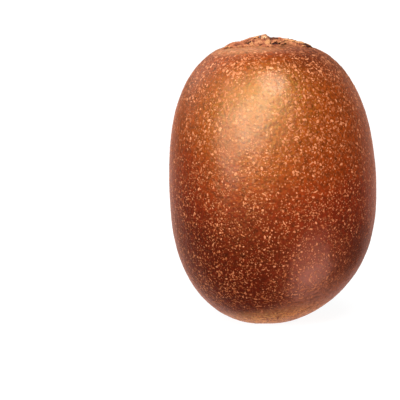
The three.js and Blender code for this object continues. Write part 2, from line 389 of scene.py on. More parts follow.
# Painted light round the blossom end, for what a pale table throws back (a pinkish painted reflection
# higher on one side, a golden tan painted glow round the foot): slope of the upper edge, levels where
# the colour is whole and gone, strength and colour.
TABLE_LIGHT_PATCHES = (
    ((-0.45, -0.18, 1.0), 1.9, 10.7, 0.56, "#DCA68C"),
    ((-0.15, 0.0, 1.0), 1.2, 6.0, 1.0, "#E8AC54"),
)
# Freckles, and pits of painted shade: the draw where they start, the draw where they are largest,
# strength, colour.
FRECKLES_AND_SHADE_PITS = ((0.6, 1.0, 0.5, "#8E482A"), (0.4, 0.0, 0.42, "#300902"))
# Films of colour round the sepals, a dark red one of painted shade on one side and a dusty one on the
# other:
# slope, levels where the film starts and is whole, places along X where it starts and is whole,
# strength and colour.
SHADE_AND_DUST_FILMS = ((0.0, 57, 65, -4, 8, 0.85, "#460D02"), (-0.1, 65.5, 67.0, 10, -4, 0.5, "#C08C5C"))


def kiwi_skin():
    """Thin waxy kiwi skin. The wax gives a broad golden gloss over a deep red-brown."""
    material, tree = new_material("waxy_kiwi_skin")
    place = add(tree, "ShaderNodeTexCoord", out="Object")
    height = add(tree, "ShaderNodeSeparateXYZ", {0: place}, out="Z")
    # The skin is golden brown towards the stalk and darker, deeper red towards the blossom end. This
    # darkening downwards is painted shade, and a noise drift moves its levels.
    height_shade = add(tree, VECTOR_MATH, {0: place, 1: HEIGHT_SHADE_SLOPE}, operation="DOT_PRODUCT", out="Value")
    drift = add(
        tree, NOISE,
        {"Vector": place, "Scale": per_metre(DRIFT_WIDTH), "Detail": 3.0, "Roughness": 0.55},
    )
    height_shade = add(tree, MATH, {0: drift, 1: HEIGHT_SHADE_DRIFT * MM, 2: height_shade}, operation="MULTIPLY_ADD")
    height_shade = add(
        tree, MAP_RANGE,
        {"Value": height_shade, "From Min": HEIGHT_SHADE_LEVELS[0] * MM, "From Max": HEIGHT_SHADE_LEVELS[1] * MM},
        interpolation_type="SMOOTHSTEP",
    )
    ground = add(
        tree, "ShaderNodeValToRGB", {"Fac": height_shade},
        stops=[(0.0, "#4A0B03"), (1.0, "#762C07"), (0.35, "#5C1203"), (0.7, "#6D1F05")],
    )
    # The blossom end has painted light from the table below: a pinkish painted reflection, higher up on
    # one side, and a golden tan painted glow round the foot.
    for slope, low, high, amount, code in TABLE_LIGHT_PATCHES:
        lean = add(tree, VECTOR_MATH, {0: place, 1: slope}, operation="DOT_PRODUCT", out="Value")
        table_light = add(
            tree, MAP_RANGE,
            {"Value": lean, "From Min": high * MM, "From Max": low * MM, "To Max": amount},
            interpolation_type="SMOOTHSTEP",
        )
        ground = add(
            tree, "ShaderNodeMix", {0: table_light, 6: ground, 7: linear(code)}, data_type="RGBA", out=2
        )
    # Mottling about a millimetre wide, with fine pale freckles and dark pits of painted shade between
    # the lenticels.
    mottle = add(
        tree, NOISE,
        {"Vector": place, "Scale": per_metre(MOTTLE_WIDTH), "Detail": 4.0, "Roughness": 0.7},
    )
    dark, light = MOTTLE_RANGE
    mottle = add(
        tree, MAP_RANGE,
        {"Value": mottle, "From Min": 0.3, "From Max": 0.7, "To Min": dark, "To Max": light},
    )
    ground = add(tree, VECTOR_MATH, {0: ground, "Scale": mottle}, operation="SCALE")
    freckle = add(
        tree, "ShaderNodeTexVoronoi", {"Vector": place, "Scale": per_metre(FRECKLE_WIDTH)},
        feature="F1", out=None,
    )
    chosen = add(tree, "ShaderNodeSeparateColor", {0: freckle["Color"]})
    for first, last, amount, code in FRECKLES_AND_SHADE_PITS:
        reach = add(
            tree, MAP_RANGE,
            {"Value": chosen, "From Min": first, "From Max": last, "To Max": FRECKLE_REACH},
        )
        spot = add(tree, MATH, {0: reach, 1: freckle["Distance"]}, operation="SUBTRACT")
        spot = add(
            tree, MAP_RANGE,
            {"Value": spot, "From Min": 0.0, "From Max": FRECKLE_RIM, "To Max": amount},
        )
        ground = add(
            tree, "ShaderNodeMix", {0: spot, 6: ground, 7: linear(code)}, data_type="RGBA", out=2
        )
    # Round the sepals the skin is painted darker and redder on one side, as painted shade, and is dusty
    # with worn scurf on the other, both broken into patches.
    side = add(tree, "ShaderNodeSeparateXYZ", {0: place})
    film_patches = add(
        tree, NOISE,
        {"Vector": place, "Scale": per_metre(FILM_PATCH_WIDTH), "Detail": 5.0, "Roughness": 0.7},
    )
    film_patches = add(tree, MAP_RANGE, {"Value": film_patches, "From Min": 0.3, "From Max": 0.6, "To Min": 0.3})
    for slope, low, high, near, far, amount, code in SHADE_AND_DUST_FILMS:
        level = add(tree, MATH, {0: side, 1: slope, 2: height}, operation="MULTIPLY_ADD")
        band = add(
            tree, MAP_RANGE,
            {"Value": level, "From Min": low * MM, "From Max": high * MM, "To Max": amount},
            interpolation_type="SMOOTHSTEP",
        )
        turn = add(
            tree, MAP_RANGE, {"Value": side, "From Min": near * MM, "From Max": far * MM},
            interpolation_type="SMOOTHSTEP",
        )
        film = add(tree, MATH, {0: band, 1: turn}, operation="MULTIPLY")
        film = add(tree, MATH, {0: film, 1: film_patches}, operation="MULTIPLY")
        ground = add(
            tree, "ShaderNodeMix", {0: film, 6: ground, 7: linear(code)}, data_type="RGBA", out=2
        )
    wrinkles = add(
        tree, "ShaderNodeTexVoronoi", {"Vector": place, "Scale": per_metre(WRINKLE_WIDTH)},
        feature="SMOOTH_F1", out="Distance",
    )
    grain = add(tree, NOISE, {"Vector": place, "Scale": per_metre(GRAIN_WIDTH), "Detail": 3.0})
    relief = add(tree, MATH, {0: wrinkles, 1: grain}, operation="ADD")
    bump = add(tree, "ShaderNodeBump", {"Height": relief, "Strength": 0.6, "Distance": 0.2 * MM})
    rough = add(
        tree, MAP_RANGE,
        {"Value": mottle, "From Min": dark, "From Max": light, "To Min": 0.41, "To Max": 0.49},
    )
    # The gloss is golden above the middle and redder below.
    gloss = add(
        tree, MAP_RANGE,
        {"Value": height, "From Min": GLOSS_LEVELS[0] * MM, "From Max": GLOSS_LEVELS[1] * MM},
    )
    gloss = add(
        tree, "ShaderNodeMix", {0: gloss, 6: linear("#FFA04C"), 7: linear("#FFD45C")},
        data_type="RGBA", out=2,
    )
    # The wax is worn thin round the sepals, so its weight and the specular level fall there.
    fade = {"Value": height, "From Min": WAX_LEVELS[0] * MM, "From Max": WAX_LEVELS[1] * MM}
    wax = add(tree, MAP_RANGE, fade | {"To Min": 0.52, "To Max": 0.12})
    shine = add(tree, MAP_RANGE, fade | {"To Min": 1.0, "To Max": 0.4})
    skin = add(
        tree, "ShaderNodeBsdfPrincipled", {
            "Base Color": ground,
            "Roughness": rough,
            "IOR": 1.52,
            "Specular IOR Level": shine,
            "Specular Tint": gloss,
            "Normal": bump,
            "Subsurface Weight": 0.06,
            "Subsurface Radius": (1.0, 0.32, 0.1),
            "Subsurface Scale": 0.8 * MM,
            "Coat Weight": wax,
            "Coat Roughness": 0.25,
            "Sheen Weight": 0.28,
            "Sheen Roughness": 0.35,
            "Sheen Tint": linear("#E89A70"),
        },
    )
    add(tree, "ShaderNodeOutputMaterial", {"Surface": skin})
    return material


def cork():
    """Cork that fills the pores of the skin, pinkish tan, a little glossy from the wax over it."""
    material, tree = new_material("lenticel_cork")
    tone = add(tree, "ShaderNodeAttribute", attribute_name="tone", out="Fac")
    colour = add(
        tree, "ShaderNodeValToRGB", {"Fac": tone},
        stops=[(0.0, "#74351B"), (1.0, "#C07A54"), (0.5, "#9E5632")],
    )
    surface = add(
        tree, "ShaderNodeBsdfPrincipled", {
            "Base Color": colour,
            "Roughness": 0.46,
            "IOR": 1.5,
            "Specular IOR Level": 0.6,
            "Specular Tint": linear("#FFD66C"),
            "Coat Weight": 0.34,
            "Coat Roughness": 0.28,
        },
    )
    add(tree, "ShaderNodeOutputMaterial", {"Surface": surface})
    return material


def dry_surface(tree, colour, relief, depth, rough):
    """Ends a material in the matt finish of dead tissue, with a relief this deep."""
    bump = add(tree, "ShaderNodeBump", {"Height": relief, "Strength": 0.8, "Distance": depth * MM})
    surface = add(
        tree, "ShaderNodeBsdfPrincipled", {
            "Base Color": colour, "Roughness": rough, "IOR": 1.45, "Specular IOR Level": 0.3,
            "Normal": bump,
        },
    )
    add(tree, "ShaderNodeOutputMaterial", {"Surface": surface})


def dead_sepal():
    """Sepal tissue dried on the fruit. It is papery and matt, painted dark in its folds and hollows as
    painted shade, tan at its edges.
    """
    material, tree = new_material("dried_sepal_tissue")
    place = add(tree, "ShaderNodeTexCoord", out="Object")
    # The marked tone carries painted shade: dark in low folds and in the hollows.
    fold = add(tree, "ShaderNodeAttribute", attribute_name="fold", out="Fac")
    worn = add(tree, "ShaderNodeAttribute", attribute_name="worn", out="Fac")
    # Veins and cracks, a few tenths of a millimetre wide.
    cracks = add(
        tree, NOISE,
        {"Vector": place, "Scale": per_metre(CRACK_WIDTH), "Detail": 5.0, "Roughness": 0.7},
    )
    tone = add(tree, MATH, {0: cracks, 1: 0.9, 2: fold}, operation="MULTIPLY_ADD")
    tone = add(tree, MAP_RANGE, {"Value": tone, "From Min": 0.45, "From Max": 1.45})
    tissue = add(
        tree, "ShaderNodeValToRGB", {"Fac": tone},
        stops=[(0.0, "#33110A"), (1.0, "#C08458"), (0.3, "#6E331C"), (0.65, "#9A5A3A")],
    )
    edge = add(
        tree, "ShaderNodeValToRGB", {"Fac": worn},
        stops=[(0.0, "#B07848"), (1.0, "#F2DCA8"), (0.7, "#C8945F")],
    )
    colour = add(tree, "ShaderNodeMix", {0: worn, 6: tissue, 7: edge}, data_type="RGBA", out=2)
    dry_surface(tree, colour, cracks, 0.25, 0.8)
    return material


def torn_wood():
    """The torn end of the stalk. Dry fibres break light and dark along the grain."""
    material, tree = new_material("torn_stalk_wood")
    place = add(tree, "ShaderNodeTexCoord", out="Object")
    # The marked tone carries painted shade: dark in the low places of the torn top and on one side.
    fold = add(tree, "ShaderNodeAttribute", attribute_name="fold", out="Fac")
    along = add(tree, "ShaderNodeMapping", {"Vector": place, "Scale": (1.0, 1.0, 0.3)})
    fibres = add(
        tree, NOISE,
        {"Vector": along, "Scale": per_metre(FIBRE_WIDTH), "Detail": 5.0, "Roughness": 0.65},
    )
    tone = add(tree, MATH, {0: fibres, 1: 0.9, 2: fold}, operation="MULTIPLY_ADD")
    tone = add(tree, MAP_RANGE, {"Value": tone, "From Min": 0.45, "From Max": 1.4})
    colour = add(
        tree, "ShaderNodeValToRGB", {"Fac": tone},
        stops=[(0.0, "#34170B"), (1.0, "#B0805C"), (0.4, "#6A3820"), (0.75, "#8E583A")],
    )
    dry_surface(tree, colour, fibres, 0.2, 0.85)
    return material


def dried_style():
    """Dead style tissue, almost black and a little shiny where it is bare, with paler tips."""
    material, tree = new_material("dried_style_tissue")
    place = add(tree, "ShaderNodeTexCoord", out="Object")
    tip = add(tree, "ShaderNodeAttribute", attribute_name="worn", out="Fac")
    grain = add(
        tree, NOISE, {"Vector": place, "Scale": per_metre(STYLE_GRAIN_WIDTH), "Detail": 3.0}
    )
    tone = add(tree, MATH, {0: tip, 1: 0.5, 2: grain}, operation="MULTIPLY_ADD")
    colour = add(
        tree, "ShaderNodeValToRGB", {"Fac": tone},
        stops=[(0.25, "#150C07"), (1.0, "#7A5636"), (0.6, "#38200F")],
    )
    surface = add(
        tree, "ShaderNodeBsdfPrincipled", {"Base Color": colour, "Roughness": 0.7, "IOR": 1.45}
    )
    add(tree, "ShaderNodeOutputMaterial", {"Surface": surface})
    return material


# ---- the fruit ----


def sphere_patches(steps):
    """Points on a unit sphere in six square patches that share their edges, and their quads."""
    lattice = {}
    quads = []

    def corner(key):
        return lattice.setdefault(key, len(lattice))

    for axis in range(3):
        for side in (0, steps):
            one, two = [a for a in range(3) if a != axis]
            for i in range(steps):
                for j in range(steps):
                    ring = []
                    for di, dj in ((0, 0), (1, 0), (1, 1), (0, 1)):
                        key = [0, 0, 0]
                        key[axis], key[one], key[two] = side, i + di, j + dj
                        ring.append(corner(tuple(key)))
                    if (side > 0) == (axis == 1):
                        ring.reverse()
                    quads.append(ring)
    flat = 2 * np.array(list(lattice), float) / steps - 1
    spread = np.tan(flat * np.pi / 4)
    return spread / np.linalg.norm(spread, axis=1, keepdims=True), quads


def fruit_points(direction):
    """The fruit's surface in every direction of a unit sphere."""
    share = direction[:, 2]
    angle = np.arctan2(direction[:, 1], direction[:, 0])
    radius = girth(share)
    height = height_of(share)
    foot = (height + np.sqrt(height * height + FOOT_SOFTNESS * FOOT_SOFTNESS)) / 2
    dimple = DIMPLE_DEPTH * np.maximum(0, 1 - (radius / DIMPLE_RADIUS) ** 2) ** 0.6
    pit = PIT_DEPTH * smooth(STUB_RADIUS + GAP, STUB_RADIUS - PIT_SLOPE, radius)
    top = height - basin(radius) - pit
    height = np.where(share > 0, top, foot + dimple * (share < 0))
    return placed(radius, angle, share, height) - MIDDLE


RIPPLES = {
    "Swell width (mm)": 7.0,
    "Swell height (mm)": 0.12,
    "Crease width (mm)": 1.9,
    "Crease depth (mm)": 0.035,
}


def ripple_tree():
    """Geometry nodes that raise low ripples on a surface, along its normals."""
    tree = new_growth("skin_ripples", RIPPLES)
    given = add(tree, "NodeGroupInput", out=None)
    place = add(tree, "GeometryNodeInputPosition")
    total = 0.0
    for width, height in (
        ("Swell width (mm)", "Swell height (mm)"),
        ("Crease width (mm)", "Crease depth (mm)"),
    ):
        scale = add(tree, MATH, {0: 1000.0, 1: given[width]}, operation="DIVIDE")
        wave = add(tree, NOISE, {"Vector": place, "Scale": scale, "Detail": 1.0})
        centred = add(tree, MATH, {0: wave, 1: 0.5}, operation="SUBTRACT")
        reach = add(tree, MATH, {0: given[height], 1: 2 * MM}, operation="MULTIPLY")
        part = add(tree, MATH, {0: centred, 1: reach}, operation="MULTIPLY")
        total = add(tree, MATH, {0: total, 1: part}, operation="ADD")
    normal = add(tree, "GeometryNodeInputNormal")
    offset = add(tree, VECTOR_MATH, {0: normal, "Scale": total}, operation="SCALE")
    moved = add(tree, "GeometryNodeSetPosition", {"Geometry": given["Geometry"], "Offset": offset})
    real = add(tree, "GeometryNodeRealizeInstances", {"Geometry": moved})
    finished = add(
        tree, "GeometryNodeSetMaterial", {"Geometry": real, "Material": given["Material"]}
    )
    add(tree, "NodeGroupOutput", {0: finished})
    return tree


LENTICEL_SIZES = (
    "Spacing (mm)", "Crowding", "Smallest (mm)", "Largest (mm)",
    "Longest stretch", "Bend", "Palest", "Highest (mm)",
)
LENTICEL_COUNTS = ("Sides", "Rings", "Seed")
# Round, fine and long bent lenticels over the skin, and coarse bent ones round the blossom end, with
# those sizes and counts in that order.
LENTICEL_KINDS = {
    "lenticels": (0.55, 0.4, 0.28, 0.68, 1.5, 0.1, 1.0, 90.0, 6, 3, 4),
    "fine_lenticels": (0.36, 0.42, 0.16, 0.36, 2.2, 0.0, 0.85, 90.0, 5, 2, 6),
    "bent_lenticels": (1.1, 0.4, 0.2, 0.4, 4.0, 0.9, 0.95, 90.0, 6, 5, 9),
    "heel_lenticels": (0.7, 1.0, 0.34, 0.66, 3.0, 0.9, 0.85, 19.0, 6, 5, 12),
}
CROWD_WIDTH = 5.0
CROWD_LEVELS = (0.34, 0.56)  # noise at which a spot is bare, and at which it is crowded
BAREST = 0.45  # crowding of the barest spots
THINNING = 8.0  # how far under its highest place a kind starts to thin out
SMALLNESS = 1.9  # how strongly the draw of sizes leans to small ones
GROWTH_LEVELS = (15, 60)  # levels between which the grains get larger, and their share of the width
GROWTH = (0.4, 0.66)
GRAIN_FLATNESS = 0.14  # a grain's rise, as a share of its half width
SOFT_EDGE = 18  # an edge of a grain that bends more than this, in degrees, stays sharp
STRETCH_SEED = 23
SPIN_SEED = 37
TONE_SEED = 51


def lenticel_tree():
    """Geometry nodes that set low cork grains over a surface, each turned and stretched at random."""
    tree = new_growth("lenticels", LENTICEL_SIZES, LENTICEL_COUNTS)
    given = add(tree, "NodeGroupInput", out=None)
    spacing = add(tree, MATH, {0: given["Spacing (mm)"], 1: MM}, operation="MULTIPLY")
    square = add(tree, MATH, {0: spacing, 1: spacing}, operation="MULTIPLY")
    density = add(tree, MATH, {0: given["Crowding"], 1: square}, operation="DIVIDE")
    place = add(tree, "GeometryNodeInputPosition")
    height = add(tree, "ShaderNodeSeparateXYZ", {0: place}, out="Z")
    # They stand in loose crowds.
    crowd = add(tree, NOISE, {"Vector": place, "Scale": per_metre(CROWD_WIDTH), "Detail": 2.0})
    bare, full = CROWD_LEVELS
    crowd = add(
        tree, MAP_RANGE, {"Value": crowd, "From Min": bare, "From Max": full, "To Min": BAREST}
    )
    # A kind that stops at a height thins out below it.
    top = add(tree, MATH, {0: given["Highest (mm)"], 1: MM}, operation="MULTIPLY")
    thin = add(tree, MATH, {0: top, 1: THINNING * MM}, operation="SUBTRACT")
    kept = add(tree, MAP_RANGE, {"Value": height, "From Min": top, "From Max": thin})
    crowd = add(tree, MATH, {0: crowd, 1: kept}, operation="MULTIPLY")
    scattered = add(
        tree, "GeometryNodeDistributePointsOnFaces", {
            "Mesh": given["Geometry"], "Distance Min": spacing, "Density Max": density,
            "Density Factor": crowd, "Seed": given["Seed"],
        }, distribute_method="POISSON", out=None,
    )
    # Most grains are small and a few are large, and they are larger towards the stalk.
    draw = add(tree, RANDOM, {2: 0.0, 3: 1.0, "Seed": given["Seed"]}, data_type="FLOAT", out=1)
    skewed = add(tree, MATH, {0: draw, 1: SMALLNESS}, operation="POWER")
    width = add(
        tree, MAP_RANGE,
        {"Value": skewed, "To Min": given["Smallest (mm)"], "To Max": given["Largest (mm)"]},
    )
    upward = add(
        tree, MAP_RANGE, {
            "Value": height, "From Min": GROWTH_LEVELS[0] * MM, "From Max": GROWTH_LEVELS[1] * MM,
            "To Min": GROWTH[0] * MM, "To Max": GROWTH[1] * MM,
        },
    )
    half = add(tree, MATH, {0: width, 1: upward}, operation="MULTIPLY")
    stretch = add(
        tree, RANDOM, {2: 1.0, 3: given["Longest stretch"], "Seed": STRETCH_SEED},
        data_type="FLOAT", out=1,
    )
    long = add(tree, MATH, {0: half, 1: stretch}, operation="MULTIPLY")
    tall = add(tree, MATH, {0: half, 1: GRAIN_FLATNESS}, operation="MULTIPLY")
    size = add(tree, "ShaderNodeCombineXYZ", {0: long, 1: half, 2: tall})
    ball = add(
        tree, "GeometryNodeMeshUVSphere",
        {"Segments": given["Sides"], "Rings": given["Rings"], "Radius": 1.0},
    )
    lying = add(
        tree, "GeometryNodeTransform", {"Geometry": ball, "Rotation": (0.0, math.pi / 2, 0.0)}
    )
    on_ball = add(tree, "GeometryNodeInputPosition")
    length = add(tree, "ShaderNodeSeparateXYZ", {0: on_ball})
    bow = add(tree, MATH, {0: length, 1: length}, operation="MULTIPLY")
    bow = add(tree, MATH, {0: bow, 1: given["Bend"]}, operation="MULTIPLY")
    sideways = add(tree, "ShaderNodeCombineXYZ", {1: bow})
    grain = add(tree, "GeometryNodeSetPosition", {"Geometry": lying, "Offset": sideways})
    spin = add(
        tree, RANDOM, {0: (0.0, 0.0, 0.0), 1: (0.0, 0.0, 2 * math.pi), "Seed": SPIN_SEED},
        data_type="FLOAT_VECTOR",
    )
    turned = add(
        tree, "FunctionNodeRotateRotation", {"Rotation": scattered["Rotation"], "Rotate By": spin},
        rotation_space="LOCAL",
    )
    grains = add(
        tree, "GeometryNodeInstanceOnPoints",
        {"Points": scattered["Points"], "Instance": grain, "Rotation": turned, "Scale": size},
    )
    tone = add(
        tree, RANDOM, {2: 0.0, 3: given["Palest"], "Seed": TONE_SEED}, data_type="FLOAT", out=1
    )
    grains = add(
        tree, "GeometryNodeStoreNamedAttribute",
        {"Geometry": grains, "Name": "tone", "Value": tone}, data_type="FLOAT", domain="INSTANCE",
    )
    real = add(tree, "GeometryNodeRealizeInstances", {"Geometry": grains})
    # The top of a grain is shaded as one soft face, and its low sides are not blended into it.
    bent = add(tree, "GeometryNodeInputMeshEdgeAngle", out="Unsigned Angle")
    soft = add(tree, MATH, {0: bent, 1: math.radians(SOFT_EDGE)}, operation="LESS_THAN")
    shaded = add(
        tree, "GeometryNodeSetShadeSmooth", {"Geometry": real, "Shade Smooth": soft}, domain="EDGE"
    )
    finished = add(
        tree, "GeometryNodeSetMaterial", {"Geometry": shaded, "Material": given["Material"]}
    )
    add(tree, "NodeGroupOutput", {0: finished})
    return tree


def grown(source, tree, name, values):
    """Runs a node tree on an object and returns what it makes as a plain mesh object."""
    modifier = source.modifiers.new(name, "NODES")
    modifier.node_group = tree
    sockets = {s.name: s.identifier for s in tree.interface.items_tree if s.in_out == "INPUT"}
    for label, value in values.items():
        modifier[sockets[label]] = value
    graph = bpy.context.evaluated_depsgraph_get()
    graph.update()
    mesh = bpy.data.meshes.new_from_object(source.evaluated_get(graph), depsgraph=graph)
    source.modifiers.remove(modifier)
    mesh.name = name
    piece = bpy.data.objects.new(name, mesh)
    bpy.context.scene.collection.objects.link(piece)
    return piece


def make_fruit(material):
    """The skin of the whole fruit, one closed mesh with low ripples."""
    direction, quads = sphere_patches(SKIN_STEPS)
    smooth_form = mesh_object("smooth_form", fruit_points(direction), quads, material)
    rippled = grown(smooth_form, ripple_tree(), "fruit_skin", RIPPLES | {"Material": material})
    bpy.data.objects.remove(smooth_form)
    return rippled


def make_lenticels(skin, material):
    """A piece of cork grains over the skin for each kind of lenticel."""
    tree = lenticel_tree()
    labels = LENTICEL_SIZES + LENTICEL_COUNTS
    return [
        grown(skin, tree, name, dict(zip(labels, values)) | {"Material": material})
        for name, values in LENTICEL_KINDS.items()
    ]


# ---- the crown ----


def torn_sheet(heading, root, outline, rise, thickness, seed, steps=SEPAL_STEPS, hollows=False):
    """A crumpled papery sheet over the shoulder, with its points, faces, painted fold shade and worn
    edges.

    heading is the bearing of its root and how far it turns away from straight out. outline is its
    length and half width. rise gives its height over the skin from the shares along and across.
    """
    bearing_at, turn = (math.radians(a) for a in heading)
    length, half_width = outline
    u, v = np.meshgrid(np.linspace(0, 1, steps[0]), np.linspace(-1, 1, steps[1]), indexing="ij")
    taper = (1 - u**3) ** 0.55 * (0.72 + 0.9 * u * (1 - u)) + 0.12
    flat = np.stack([u * length, v * half_width, 0 * u + seed], axis=-1)
    tear = roughness(flat * (1, 0, 1) + (0, 9, 0) * np.sign(v)[..., None], TEAR_WIDTH)
    tear += 0.6 * roughness(flat * (1, 0, 1) + (0, 5, 0) * np.sign(v)[..., None], FINE_TEAR_WIDTH)
    end = TIP_TEAR * roughness(flat * (0, 1, 1), TIP_TEAR_WIDTH, 3.0)
    across = v * half_width * taper * (1 + 0.16 * tear) + RIM_TEAR * tear * v * v * v
    out = length * u * (1 - 0.08 * v * v) + end * u**4
    x = root + out * math.cos(turn) - across * math.sin(turn)
    y = out * math.sin(turn) + across * math.cos(turn)
    radius, angle = np.hypot(x, y), bearing_at + np.arctan2(y, x)
    height, depth = rise(u, v, flat)
    # The hollows sink the sheet and darken it with painted shade.
    if hollows:
        shade, sunk = hollow_shade_at(radius, angle)
        height, depth = height * (1 - sunk), depth - 1.6 * shade
    thin = thickness * (1 - 0.6 * v**4) * (1 - 0.5 * u)
    # Parts of the rim are stuck down and sink into the skin, the rest is free.
    free = smooth(-0.1, 0.3, roughness(flat, STUCK_WIDTH, 21.0))
    stuck = smooth(0.7, 1.0, np.maximum(np.abs(v), u**3)) * (1 - free)
    middle = CLEARANCE + thin / 2 + height - (thin + TUCK) * stuck
    top = shoulder(radius, angle, middle + thin / 2)
    bottom = shoulder(radius, angle, middle - thin / 2)
    points, faces = slab(top, bottom)
    worn = smooth(0.7, 1.0, np.maximum(np.abs(v), u**1.5) + 0.12 * tear)
    worn = 0.75 * worn * smooth(-0.25, 0.35, roughness(flat, WORN_WIDTH, 7.0)) * (1 - stuck)
    return points, faces, np.tile(depth.ravel(), 2), np.tile(worn.ravel(), 2)


def hollow_shade_at(radius, angle):
    """How much painted shade the hollows put on the sepals at a place, and how far they sink them."""
    x, y = radius * np.cos(angle), radius * np.sin(angle)
    shade = sunk = 0 * x
    for middle_x, middle_y, size_x, size_y, depth in SHADED_HOLLOWS:
        near = np.exp(-(((x - middle_x) / size_x) ** 2) - ((y - middle_y) / size_y) ** 2)
        shade, sunk = shade + near, np.maximum(sunk, depth * near)
    return shade, sunk


def sepal_rise(lift, tip_rise, edge_rise, crumple):
    """How a sepal stands off the skin: it curls up at its tip and edges and is crumpled all over."""

    def rise(u, v, flat):
        folds = roughness(flat * (1, 1.4, 1), FOLD_WIDTH)
        folds = folds + 0.5 * roughness(flat, SMALL_FOLD_WIDTH)
        fine = roughness(flat * (1.5, 1, 1), PUCKER_WIDTH)
        vein = np.exp(-((v / 0.13) ** 2)) + 0.6 * np.exp(-(((np.abs(v) - 0.5) / 0.1) ** 2))
        curl = tip_rise * u**4 + edge_rise * v * v * u
        pressed = (1 - v**4) * (1 - u**6)
        height = lift + crumple * (0.5 + 0.5 * folds) + 0.14 * fine + 0.1 * vein * (1 - u)
        height = np.maximum(curl + height * pressed, 0)
        # The second value is the tone, darker where the folds lie low: painted shade in the creases.
        return height, 0.5 + 0.4 * folds + 0.35 * fine

    return rise


def scrap_rise(root_rise, tip_rise):
    """How a torn bit lies: from the height of its root to that of its tip, and crumpled."""

    def rise(u, v, flat):
        folds = roughness(flat, SCRAP_FOLD_WIDTH, 2.0)
        fine = roughness(flat, SCRAP_PUCKER_WIDTH, 5.0)
        height = root_rise * (1 - u) + tip_rise * u + 0.25 * folds + 0.1 * fine
        # The second value is the tone, darker where the bit lies low: painted shade.
        return np.maximum(height, 0), 0.55 + 0.4 * folds + 0.2 * fine

    return rise


def collar():
    """The lumpy ring of tissue where the sepals join round the stalk."""
    turn = np.linspace(0, 2 * np.pi, COLLAR_STEPS[0], endpoint=False)
    section = np.linspace(0, 2 * np.pi, COLLAR_STEPS[1], endpoint=False)
    angle, around = np.meshgrid(turn, section, indexing="ij")
    inner, outer = STUB_RADIUS + COLLAR_BASE, STUB_RADIUS + GAP + RING_WIDTH + COLLAR_SPREAD
    middle, half = (inner + outer) / 2, (outer - inner) / 2
    radius = middle + half * np.cos(around)
    shade, sunk = hollow_shade_at(radius, angle)
    tall = COLLAR_HEIGHT * (1 - sunk)
    lean = 1 - 0.55 * (radius - inner) / (outer - inner)
    rise = COLLAR_BASE + tall * (np.sin(around) * 0.5 + 0.5) * lean * 1.5
    place = np.stack([radius * np.cos(angle), radius * np.sin(angle), rise * 0], axis=-1)
    lumps = roughness(place, 1.5, 11.0) + 0.5 * roughness(place, 0.7, 13.0)
    fine = roughness(place, 0.35, 17.0)
    top = np.clip(np.sin(around), 0, 1)
    rise = np.maximum(rise + top * (0.42 * lumps + 0.1 * fine), 0.05)
    points, faces = hoop(shoulder(radius, angle, rise))
    # The tissue is darker in its low places and in the hollows: painted shade.
    fold = 0.5 + 0.45 * lumps + 0.25 * fine - 1.6 * shade
    return points, faces, fold.ravel(), (0.25 * smooth(0.2, 0.8, lumps)).ravel()


def make_sepals(material):
    """The dried calyx in one piece. Each sheet's noise is drawn at a place of its own."""
    parts = [collar()]
    root = STUB_RADIUS + GAP + RING_WIDTH - BLADE_ROOT
    for number, (at, length, half_width, lift, tip, edge, crumple) in enumerate(SEPALS):
        outline = (length - RING_WIDTH / 2 + BLADE_ROOT, half_width)
        rise = sepal_rise(lift, tip, edge, crumple)
        parts.append(
            torn_sheet((at, 0), root, outline, rise, SEPAL_THICKNESS, number * 4.7, hollows=True)
        )
    loose = [(row, SCRAP_THICKNESS, 31 + k * 3.1, SEPAL_STEPS) for k, row in enumerate(SCRAPS)]
    draws = np.random.default_rng(7)
    for number in range(FLAKE_COUNT):
        at = draws.uniform(0, 360)
        turn, distance, *rest = (draws.uniform(*ends) for ends in FLAKE_RANGES)
        row = (at, distance, turn, *rest)
        loose.append((row, FLAKE_THICKNESS, 80 + number * 2.3, FLAKE_STEPS))
    for (at, distance, turn, length, half_width, low, high, pale), thickness, seed, steps in loose:
        rise = scrap_rise(low, high)
        outline = (length, half_width)
        sheet = torn_sheet((at, turn), distance, outline, rise, thickness, seed, steps)
        parts.append((*sheet[:3], np.maximum(sheet[3], pale)))
    points, faces, _ = together([part[:2] for part in parts])
    fold = np.concatenate([part[2] for part in parts])
    worn = np.concatenate([part[3] for part in parts])
    return mesh_object("dried_sepals", points, faces, material, fold=fold, worn=worn)


